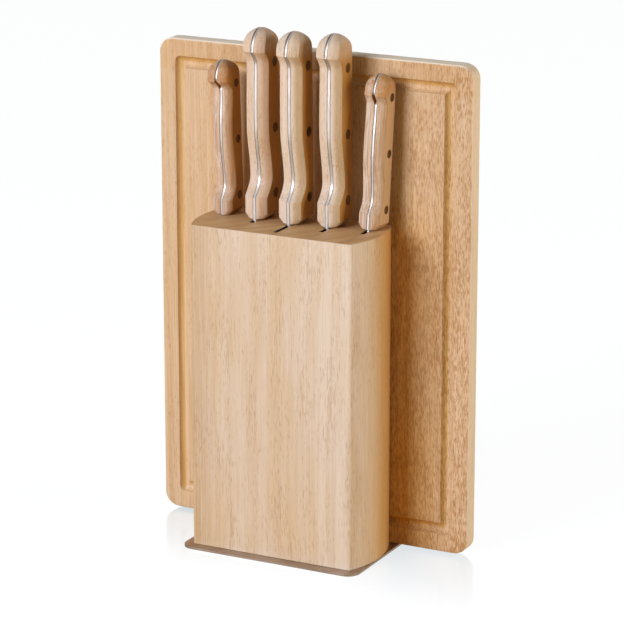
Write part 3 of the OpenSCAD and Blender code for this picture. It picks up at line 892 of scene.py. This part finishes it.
def steelSections(k):
    # the outline of tang and blade, level by level, with the blade ground to its edge
    s = blade
    tip, wide = -k["blade"], k["bladeWidth"]
    back = -s["backInset"]
    neck = min(k["footDepth"] - 1, wide + s["backInset"])
    step = 0.5 if k["scallops"] else 3
    heel = -s["heelGap"]
    down = np.unique(np.round(np.r_[
        tip * (1 - np.linspace(0, 0.1, 14) ** 1.5), np.arange(0.9 * tip, heel - 1, step),
        heel - 0.4, heel - 0.02], 3))
    belly, spine = s["bellyShare"] * tip, s["spineShare"] * tip
    u = np.clip((down - belly) / (tip - belly), 0, 1)
    bladeFront = back - wide * (1 - s["tipRise"] * u ** 2.2)
    bladeBack = back - s["spineDrop"] * wide * np.clip((down - spine) / (tip - spine), 0, 1)
    if k["scallops"]:
        # arcs cut into the edge at equal steps, from the heel to a share of the blade's length
        radius, half = s["scallopRadius"], s["scallopPitch"] / 2
        along = (heel - down + half) % s["scallopPitch"] - half
        bite = np.clip(leg(radius, along) - radius + s["scallopDepth"], 0, None)
        cut = (-down < s["scallopShare"] * k["blade"] + half) & (down < heel - half)
        bladeFront = bladeFront + np.where(cut, bite, 0)
    handleZ = levels(k)
    z = np.r_[down, heel, heel + 0.5, -0.5, -0.02, handleZ]
    # under the butt of the small knives the tang lies deeper
    sunk = s["tangSunk"] * k["throatGap"] * opening(k, handleZ)
    front = np.r_[bladeFront, np.full(4, -neck), sunk - bellyDepth(k, handleZ)]
    rear = np.r_[bladeBack, np.full(4, back), -backDepth(k, handleZ)]
    half = k["steel"] / 2
    ground = z < heel
    start = rear - s["grindShare"] * wide
    # thickness at the front edge of each level, on the bevel from the grind line to the edge
    fall = np.clip((start - front) / ((1 - s["grindShare"]) * wide), 0, 1)
    thin = half - ground * fall * (half - s["edgeThickness"] / 2)
    start = np.maximum(start, front + 0.01)
    q = s["corner"]
    soft = np.minimum(q, 0.4 * (rear - front))
    near = front + soft
    bevel = np.maximum(start, near)
    y = np.column_stack([rear, rear - soft, bevel, (bevel + near) / 2, near, front])
    full = np.full(len(z), half)
    x = np.column_stack([full - q, full, full, (half + thin) / 2, thin,
                         np.maximum(thin - q, 0.03)])
    y, x = np.hstack([y, y[:, ::-1]]), np.hstack([x, -x[:, ::-1]])
    return np.dstack([x, y, np.repeat(z[:, None], 12, 1)])


def makeSteel(name, k, turn, place):
    # the sections joined up, with a flat end at top and tip
    points = steelSections(k)
    rows, columns = points.shape[:2]
    faces = stripQuads(rows, columns, loop=True)
    faces += [list(range(columns)), list(range((rows - 1) * columns, rows * columns))]
    # its grain counts from the lower edge of the butt
    return makePiece(name, points @ turn.T + place, faces, 25, (turn, place),
                     (0, 0, k["buttHeight"] - k["handle"]))


def makeRivets(name, k, turn, place):
    # a spool turned about x: shallow domed heads at both ends of a thinner shank
    s, turns = rivet, rivet["turns"]
    half, r = k["width"] / 2, k["rivet"]
    under = half - s["headDepth"]
    u = np.linspace(0, 1, 7)
    head = np.column_stack([half + s["proud"] - s["dome"] * u ** 2, 0.95 * r * u])
    profile = np.concatenate([head, [[half + 0.02, r * 0.99], [half - 0.06, r], [under, r],
                                     [under, s["shankRadius"]]]])
    profile = np.concatenate([profile, profile[::-1] * [-1, 1]])
    angle = np.linspace(0, 2 * np.pi, turns, endpoint=False)
    ring = np.dstack([np.repeat(profile[:, :1], turns, 1), profile[:, 1:] * np.cos(angle),
                      profile[:, 1:] * np.sin(angle)])
    low = k["footHeight"] + k["rivetRise"]
    high = k["handle"] - k["buttHeight"] - k["rivetDrop"]
    points = np.concatenate([ring + [0, -s["depthShare"] * k["gripDepth"], z]
                             for z in (low, (low + high) / 2, high)])
    rows = len(profile)
    quads = np.array(stripQuads(rows, turns, loop=True))
    faces = np.concatenate([quads + n * rows * turns for n in range(3)]).tolist()
    return makePiece(name, points @ turn.T + place, faces, 30, (turn, place))


# wood for each scale is cut from another place: number of the knife, and side
shifts = np.array([[310, 170, 420], [95, 0, 60]])
for number, (name, k) in enumerate(knives.items()):
    turn = knifeTurn(k)
    raw = steelSections(k).reshape(-1, 3) @ turn.T
    low, high = corners(f"{name}_blade")
    place = (low + high) / 2 - (raw.min(0) + raw.max(0)) / 2
    body = f"{name}_knife"
    settle(makeSteel(f"{name}TangAndBlade", k, turn, place), body, "blade_steel", bladeSteel,
           f"{name}_blade")
    for side, word in ((-1, "left"), (1, "right")):
        piece = makeScale(f"{name}Scale{word.title()}", k, side, turn, place,
                          (number, side) @ shifts)
        settle(piece, body, k["slot"], k["wood"], f"{name}_scale_{word}")
    settle(makeRivets(f"{name}Rivets", k, turn, place), body, "rivet_bronze", rivetBronze,
           f"{name}_rivets")
    print(name, "knife stands at", np.round(place, 2).tolist())

for node, finish in (("base_plate", plateSteel), ("base_screws", screwSteel)):
    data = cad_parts[node].data
    data.materials.clear()
    data.materials.append(finish)
print("knives and base made")


# floor, light and camera

room = {
    "floorSize": 16, "floorDrop": 0.0002, "floorWhite": (0.955, 0.96, 0.965),
    "mirrorLeft": (0.36, 0.28, 0.26, 1), "mirrorRight": (0.24, 0.185, 0.165, 1),
    "mirrorMiddle": (-0.05, 0.05), "mirrorTaken": (-1.15, -1.15, -1.15), "mirrorRough": 0.12,
    "mirrorSpan": (-0.09, 0.03),  # fades out from under the board to the front, in metres
    "floorMatt": (0.1, 0.1, 0.1, 1), "floorBounce": (0.72, 0.46, 0.14, 1),
    "floorShine": (0.62, 0.52, 0.4, 1),
    "wallTone": (1.1, 0.85, 0.5, 1), "wallBack": (-0.05, 0.6), "wallLevel": 0.3,
    # the walls as they show in shiny things: brighter behind, darker overhead
    "shine": 0.8, "shineBack": (-0.1, 0.7), "shineTop": (0.3, 0.9), "shineMore": 0.35,
    "lampAim": (0, 0, 0.18),
}
# place, size, level and colour
lamps = {
    "keyPanel": ((-1.3, -3.22, 1.45), (1.85, 2.2), 0.95, (1, 1.06, 1.2)),
    "sidePanel": ((2.48, 0.04, 0.53), (1.3, 1.6), 0.65, (1.01, 0.98, 0.94)),
}
eye = {"azimuth": 27.17, "elevation": 15.7, "distance": 2.0298, "lens": 178.93,
       "target": (0.01612, -0.00521, 0.16517)}


def rays(f):
    # 1 for what the camera sees, what shiny things see, and what is seen through a surface
    f.add("ShaderNodeLightPath")
    return [Wire(f, f.last.outputs[n]) for n in (
        "Is Camera Ray", "Is Glossy Ray", "Is Transmission Ray")]


def makeFloor():
    s = room["floorSize"] / 2 / mm
    floor = makePiece("floor", [(-s, -s, 0), (s, -s, 0), (s, s, 0), (-s, s, 0)], [(0, 1, 2, 3)])
    floor.location.z = -room["floorDrop"]
    # the camera sees white with a faint mirror image that fades away from the board; all else
    # gets a warm bounce from it
    f = Finish("floorPaper", room)
    across, along, _ = f.parts(f.add("ShaderNodeTexCoord", {}, {}, "Object"))
    fade = f.step(along, "mirrorSpan")
    camera, glossy, through = rays(f)
    tint = f.mix(f.step(across, "mirrorMiddle"), room["mirrorLeft"], room["mirrorRight"])
    mirror = f.mix(fade, (0, 0, 0, 1), tint)
    # what the mirror image adds, the white gives up
    white = f.add("ShaderNodeVectorMath", {"operation": "MULTIPLY_ADD"}, {
        0: mirror, 1: room["mirrorTaken"], 2: room["floorWhite"]})
    paper = f.add("ShaderNodeAddShader", {}, {
        0: f.add("ShaderNodeEmission", {}, {"Color": white}),
        1: f.add("ShaderNodeBsdfDiffuse", {}, {"Color": room["floorMatt"]})})
    look = f.add("ShaderNodeAddShader", {}, {0: paper, 1: f.add(
        "ShaderNodeBsdfGlossy", {}, {"Color": mirror, "Roughness": room["mirrorRough"]})})
    plain = f.add("ShaderNodeBsdfDiffuse", {}, {"Color": room["floorBounce"]})
    shown = f.add("ShaderNodeEmission", {}, {"Color": room["floorShine"]})
    other = f.add("ShaderNodeMixShader", {}, {0: glossy + through, 1: plain, 2: shown})
    mixed = f.add("ShaderNodeMixShader", {}, {0: camera, 1: other, 2: look})
    f.add("ShaderNodeOutputMaterial", {}, {0: mixed})
    floor.data.materials.append(f.block)
    floor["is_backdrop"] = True


def makeWorld():
    # studio walls, white to the camera, that light the object warmly and from behind
    s = room
    f = Finish("studioWalls", s, world=True)
    _, y, z = f.parts(f.add("ShaderNodeTexCoord", {}, {}, "Generated"))
    light = f.step(y, "wallBack") * s["wallLevel"]
    camera, glossy, through = rays(f)
    shine = s["shine"] + f.step(y, "shineBack") * s["shineMore"]
    shine = shine - f.step(z, "shineTop") * s["shineMore"]
    strength = (light * (1 - camera) * (1 - glossy) * (1 - through) + camera
                + (glossy + through) * shine)
    tint = f.mix(camera + glossy + through, s["wallTone"], (1, 1, 1, 1))
    back = f.add("ShaderNodeBackground", {}, {"Color": tint, "Strength": strength})
    f.add("ShaderNodeOutputWorld", {}, {0: back})
    bpy.context.scene.world = f.block


def makeLamp(name, place, size, level, tint):
    # level is how bright a white wall would look where the lamp is aimed
    lamp = bpy.data.lights.new(name, "AREA")
    lamp.shape, lamp.size, lamp.size_y = "RECTANGLE", size[0], size[1]
    away = Vector(place) - Vector(room["lampAim"])
    lamp.energy = level * math.pi ** 2 * away.length_squared
    lamp.color = tint
    obj = bpy.data.objects.new(name, lamp)
    obj.location = place
    obj.rotation_euler = away.to_track_quat("Z", "Y").to_euler()
    obj.visible_camera = False
    bpy.context.scene.collection.objects.link(obj)


def makeCamera():
    a, e = math.radians(eye["azimuth"]), math.radians(eye["elevation"])
    away = Vector((math.sin(a) * math.cos(e), -math.cos(a) * math.cos(e), math.sin(e)))
    data = bpy.data.cameras.new("camera")
    data.lens, data.sensor_width = eye["lens"], 36
    data.clip_start, data.clip_end = 0.1, 50
    camera = bpy.data.objects.new("camera", data)
    camera.location = Vector(eye["target"]) + away * eye["distance"]
    camera.rotation_euler = away.to_track_quat("Z", "Y").to_euler()
    bpy.context.scene.collection.objects.link(camera)
    bpy.context.scene.camera = camera


makeFloor()
makeWorld()
for name, lamp in lamps.items():
    makeLamp(name, *lamp)
makeCamera()
bpy.context.scene.view_settings.view_transform = "Standard"
print("floor, light and camera set")

low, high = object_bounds()
